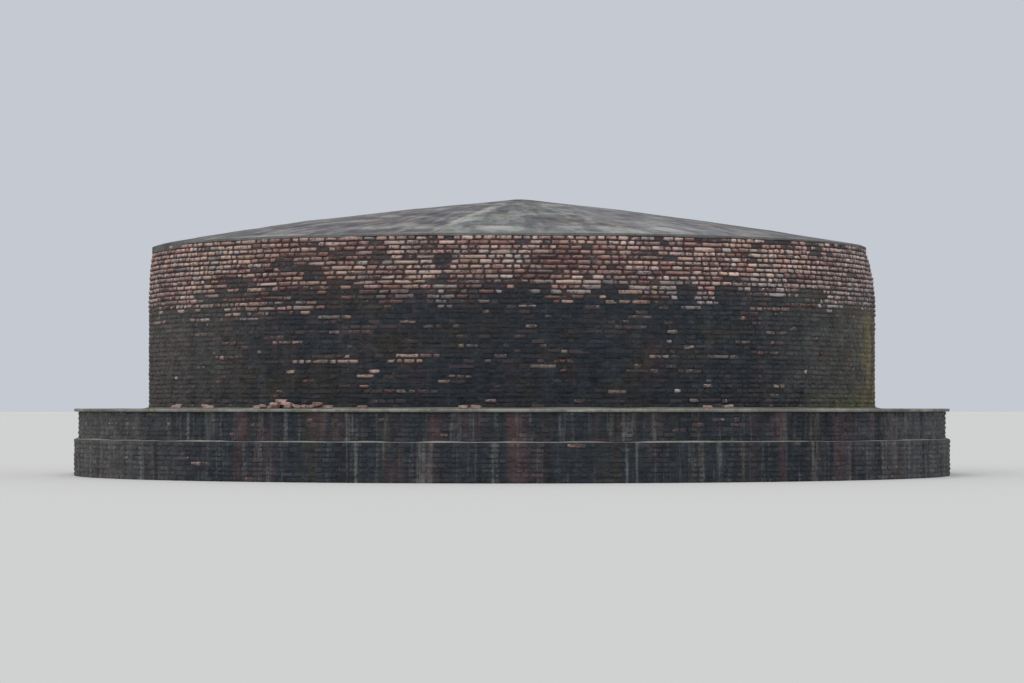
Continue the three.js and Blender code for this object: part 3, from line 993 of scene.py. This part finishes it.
def makeSlab(material):
    # A flat ring: its profile runs over the top, round the edge and back below, and the edge wanders,
    # with bites broken out of it where a pattern peaks. The pale edge overhangs the wall below it.
    bearing = np.linspace(0, 2 * math.pi, slabLook["columns"], endpoint=False)[None]
    outer, under, top = slabRadius, platformTop, terraceTop
    start, end = ((drumRadius + out, under + up, 0) for out, up in slabLook["hidden"])
    rows, outFrom, inTo, down = slabLook["flat"]
    profile = np.array([
        start,
        *((drumRadius + out, top + up, 0) for out, up in slabLook["bank"]),
        *((r, top - down, 0) for r in np.linspace(drumRadius + outFrom, outer - inTo, rows)),
        *((outer - wayIn, top - wayDown, worn) for wayIn, wayDown, worn in slabLook["edge"]),
        *((outer - wayIn, under + up, worn) for wayIn, up, worn in slabLook["underside"]),
        end,
    ])
    radius, height, edge = (column[:, None] for column in profile.T)
    wander, bite = wornEdge(bearing, (41, 0.35), (42, 0.12), (43, 0.45))
    radius = radius + edge * (wander - slabLook["setBack"] - slabLook["chip"] * bite)
    drop, over = slabLook["drop"]
    onTop = height > under + over
    broad, fine = slabLook["uneven"]
    unevenness = broad * patches(44, bearing, 3 + radius, 0.9, 0.5)
    unevenness = unevenness + fine * patches(45, bearing, 3 + radius, 0.3, 0.2)
    height = height + (onTop & (edge < 1)) * unevenness - (edge > 0) * drop * bite * onTop
    makeRing("terrace_slab", radius, bearing, height, material, [f"terrace_slab_{side}" for side in sides])


ledgeLook = {
    "columns": 720,
    "rise": 0.03,
    "short": (0.01, 0.03),  # how far short of the ledge's edge it stops, and how much more in places
    "behind": 0.004,  # how far it starts inside the wall's mortar face
    # its profile, as shares of its reach and of its rise
    "out": (0, 0, 0.35, 0.8, 1, 1),
    "up": (-0.25, 1, 0.9, 0.5, 0.12, -0.25),
}


def makeLedge(material):
    # Lime and dirt banked on the plinth's ledge: a low wedge whose height and reach wander
    bearing = np.linspace(0, 2 * math.pi, ledgeLook["columns"], endpoint=False)[None]
    least, more = ledgeLook["short"]
    reach = plinthRadius - least - more * smooth(ripples(61, bearing, 0.6), -0.2, 0.8)
    rise = ledgeLook["rise"] * (0.6 + 0.4 * ripples(62, bearing, 0.5))
    out, up = np.array(ledgeLook["out"])[:, None], np.array(ledgeLook["up"])[:, None]
    radius = platformRadius - ledgeLook["behind"] + out * (reach - platformRadius)
    makeRing("ledge_mortar", radius, bearing, plinthTop + up * rise, material)


limeLook = {
    "stone": paint(116, 116, 110),
    "pale": paint(152, 152, 144),
    "dirt": paint(96, 90, 80),
    "black": paint(60, 61, 60),
    "moss": paint(106, 104, 72),
    "brick": paint(128, 100, 88),
    "dirtReach": (1.5, 0.6),  # metres from the drum at which the dirt starts, and is full
}


def limeMaterial():
    # Lime concrete with bits of brick in it: pale where it is worn, black in patches, dirty and mossy
    # towards the drum
    made, tree, shader, place = startMaterial("worn_lime_concrete")
    broad = grain(tree, place, 0.8, 8, 0.72)
    colour = blend(tree, fade(tree, broad, 0.4, 0.64), limeLook["stone"], limeLook["pale"])
    stain = grain(tree, place, 1.9, 8, 0.76)
    out = maths(tree, "MULTIPLY_ADD", broad, 1.6, attribute(tree, "out"))
    dirt = fade(tree, out, *(drumRadius + reach for reach in limeLook["dirtReach"]))
    for over, mask, strength in (
        ("black", fade(tree, stain, 0.5, 0.7), 0.7),
        ("dirt", dirt, 0.75),
        ("moss", fade(tree, grain(tree, place, 2.6, 7, 0.75), 0.52, 0.64), 0.4),
        ("brick", fade(tree, grain(tree, place, 19, 3, 0.6), 0.6, 0.66), 0.6),
    ):
        colour = laid(tree, colour, limeLook[over], mask, strength)
    fine = grain(tree, place, 34, 5, 0.72)
    colour = speckled(tree, colour, fine, 0.8, 1.18)
    finishMaterial(tree, shader, colour, ranged(tree, stain, 0.84, 0.96), fine, 0.008)
    return made


lime = limeMaterial()
makeSlab(lime)
makeLedge(lime)


# Broken bricks lying at the drum's foot: bearing in degrees, way out from the wall, length, turn, and
# the layer in a heap. More lie behind, at random within the limits that follow.
loose = {
    "placed": [
        (-38.2, 0.28, 0.20, 10, 0), (-36.7, 0.38, 0.16, 60, 0), (-35.6, 0.24, 0.22, -20, 0),
        (-34.2, 0.42, 0.15, 30, 0), (-33.9, 0.22, 0.22, 5, 0), (-32.5, 0.33, 0.2, 75, 0),
        (-31.4, 0.26, 0.16, -35, 0), (-34.8, 0.31, 0.21, 12, 1), (-33.1, 0.29, 0.22, -28, 1),
        (-33.9, 0.31, 0.19, -24, 2), (-29.8, 0.26, 0.19, -35, 0), (-28.6, 0.33, 0.2, 20, 0),
        (-27.3, 0.25, 0.22, -10, 0), (-28.0, 0.29, 0.21, 32, 1), (-26.0, 0.34, 0.15, 40, 0),
        (-57.3, 0.3, 0.22, 0, 0), (-56.1, 0.33, 0.17, 40, 0), (-49.2, 0.3, 0.2, 25, 0),
        (-47.8, 0.34, 0.16, -40, 0), (-21.2, 0.25, 0.15, -50, 0), (-6.6, 0.35, 0.16, 20, 0),
        (-4.9, 0.3, 0.2, -10, 0), (31.4, 0.3, 0.18, 25, 0), (27.9, 0.35, 0.14, -15, 0),
    ],
    "behind": 22,
    "limits": ((105, 255), (0.15, 0.6), (0.08, 0.24), (-90, 90)),
    "width": 0.115,
    "height": 0.058,
    "squareness": 0.35,  # 1 makes an egg of it and 0 a box
    "roughness": 0.09,
    "tip": 0.08,
    "sunk": 0.006,
    "layer": 0.052,  # rise from one layer of a heap to the next
    "columns": 16,
    "rows": 7,
    "bare": (0.55, 0.95),
    "tone": (0.3, 0.8),
    "shade": (0.75, 1.2),
}


def makeLoose(material):
    # Each brick is a squarish lump: x, y and z are signed powers of cosines and sines, times its half
    # sizes, roughened, turned on the terrace and tipped a little
    draw = np.random.default_rng(71)
    count = loose["behind"]
    behind = [draw.uniform(low, high, count) for low, high in loose["limits"]]
    bricks = np.concatenate([loose["placed"], np.stack([*behind, np.zeros(count)], -1)])
    total, rows, columns = len(bricks), loose["rows"], loose["columns"]
    bearing, out, length, turn, layer = (column[:, None, None] for column in bricks.T)
    around = np.linspace(0, 2 * math.pi, columns, endpoint=False)[None, None, :]
    rise = np.linspace(-math.pi / 2, math.pi / 2, rows + 2)[1:-1][None, :, None]

    def squarish(value):
        # The value's size to a power, with its sign
        return np.sign(value) * np.abs(value) ** loose["squareness"]

    def withPoles(values, pole):
        # One row for each brick, the lower and the upper pole last
        ends = np.zeros((total, 2)) + np.array([-pole, pole])
        return np.concatenate([np.broadcast_to(values, rough.shape).reshape(total, -1), ends], 1)

    rough = 1 + loose["roughness"] * draw.standard_normal((total, rows, columns))
    halfHeight = loose["height"] / 2
    lengthwise = withPoles(squarish(np.cos(rise)) * squarish(np.cos(around)) * length / 2 * rough, 0)
    crosswise = withPoles(squarish(np.cos(rise)) * squarish(np.sin(around)) * loose["width"] / 2 * rough, 0)
    upright = withPoles(squarish(np.sin(rise)) * halfHeight, halfHeight)
    upright = upright + draw.normal(0, loose["tip"], (total, 1)) * lengthwise
    upright = upright - upright.min(1, keepdims=True) + terraceTop - loose["sunk"]
    upright = upright + loose["layer"] * layer[:, :, 0]
    turn = np.radians(turn[:, :, 0])
    along = lengthwise * np.cos(turn) - crosswise * np.sin(turn)
    outwards = lengthwise * np.sin(turn) + crosswise * np.cos(turn)
    centre = drumRadius + out[:, :, 0]
    points = onWall(centre + outwards, np.radians(bearing[:, :, 0]) + along / centre, upright).reshape(-1, 3)

    each = rows * columns + 2
    faces = copied(turnedFaces(rows, columns, False), total, each)
    attributes = {
        key: np.repeat(draw.uniform(*loose[key], total), each) for key in ("bare", "tone", "shade")
    }
    attributes["inset"] = np.full(total * each, 0.1)
    attributes["rise"] = np.full(total * each, 0.2)
    makePiece("loose_bricks", points, faces, material, (), attributes)
    print("loose_bricks", total)


makeLoose(drumBrick)


# The mortar beds and the filling that stay as the CAD has them
def dress(node, material):
    # Every slot of a CAD node takes the material
    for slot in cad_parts[node].material_slots:
        slot.material = material


for ring, mortar in (
    ("plinth_wall", platformMortar),
    ("platform_wall", platformMortar),
    ("drum_old_wall", drumMortar),
    ("drum_rebuilt_wall", rebuiltMortar),
):
    for side in sides:
        dress(f"{ring}_{side}", mortar)
dress("platform_core", rubble)
dress("drum_core", rubble)
print("mortar beds dressed")


# Floor, light and camera
studio = {
    "floor": paint(214, 212, 206),
    "floorRadius": 900,
    "floorCorners": 96,
    "sky": paint(206, 211, 220),
    "skyStrength": 0.9,
    "sun": 1.6,
    "sunAngle": 70,
    "sunTurn": (38, -16, 0),
    "eye": (0, -67.4, 1.25),
    "aim": 2.46,
    "lens": 128,
    "sensor": 36,
    "clip": (1, 3000),
}


def makeStudio():
    # A round floor at z = 0, a plain sky, one soft sun, and the camera, tipped up from the eye to the aim
    turn = np.linspace(0, 2 * math.pi, studio["floorCorners"], endpoint=False)
    mesh = bpy.data.meshes.new("floor")
    ground = studio["floorRadius"] * np.stack([np.cos(turn), np.sin(turn), 0 * turn], -1)
    mesh.from_pydata(ground.tolist(), [], [list(range(len(ground)))])
    floor = intoScene("floor", mesh)
    made, _, shader, _ = startMaterial("pale_floor")
    shader.inputs["Base Color"].default_value = studio["floor"]
    shader.inputs["Roughness"].default_value = 1
    mesh.materials.append(made)
    world = bpy.data.worlds.new("studio")
    world.use_nodes = True
    background = world.node_tree.nodes["Background"]
    background.inputs["Color"].default_value = studio["sky"]
    background.inputs["Strength"].default_value = studio["skyStrength"]
    bpy.context.scene.world = world
    sun = bpy.data.lights.new("soft_light", "SUN")
    sun.energy, sun.angle = studio["sun"], math.radians(studio["sunAngle"])
    intoScene("soft_light", sun).rotation_euler = [math.radians(angle) for angle in studio["sunTurn"]]
    lens = bpy.data.cameras.new("camera")
    lens.lens, lens.sensor_width = studio["lens"], studio["sensor"]
    lens.clip_start, lens.clip_end = studio["clip"]
    camera = intoScene("camera", lens)
    x, y, z = studio["eye"]
    camera.location = studio["eye"]
    camera.rotation_euler = (math.pi / 2 + math.atan2(studio["aim"] - z, -y), 0, 0)
    bpy.context.scene.camera = camera
    bpy.context.scene.view_settings.view_transform = "Standard"
    print("studio ready")


makeStudio()
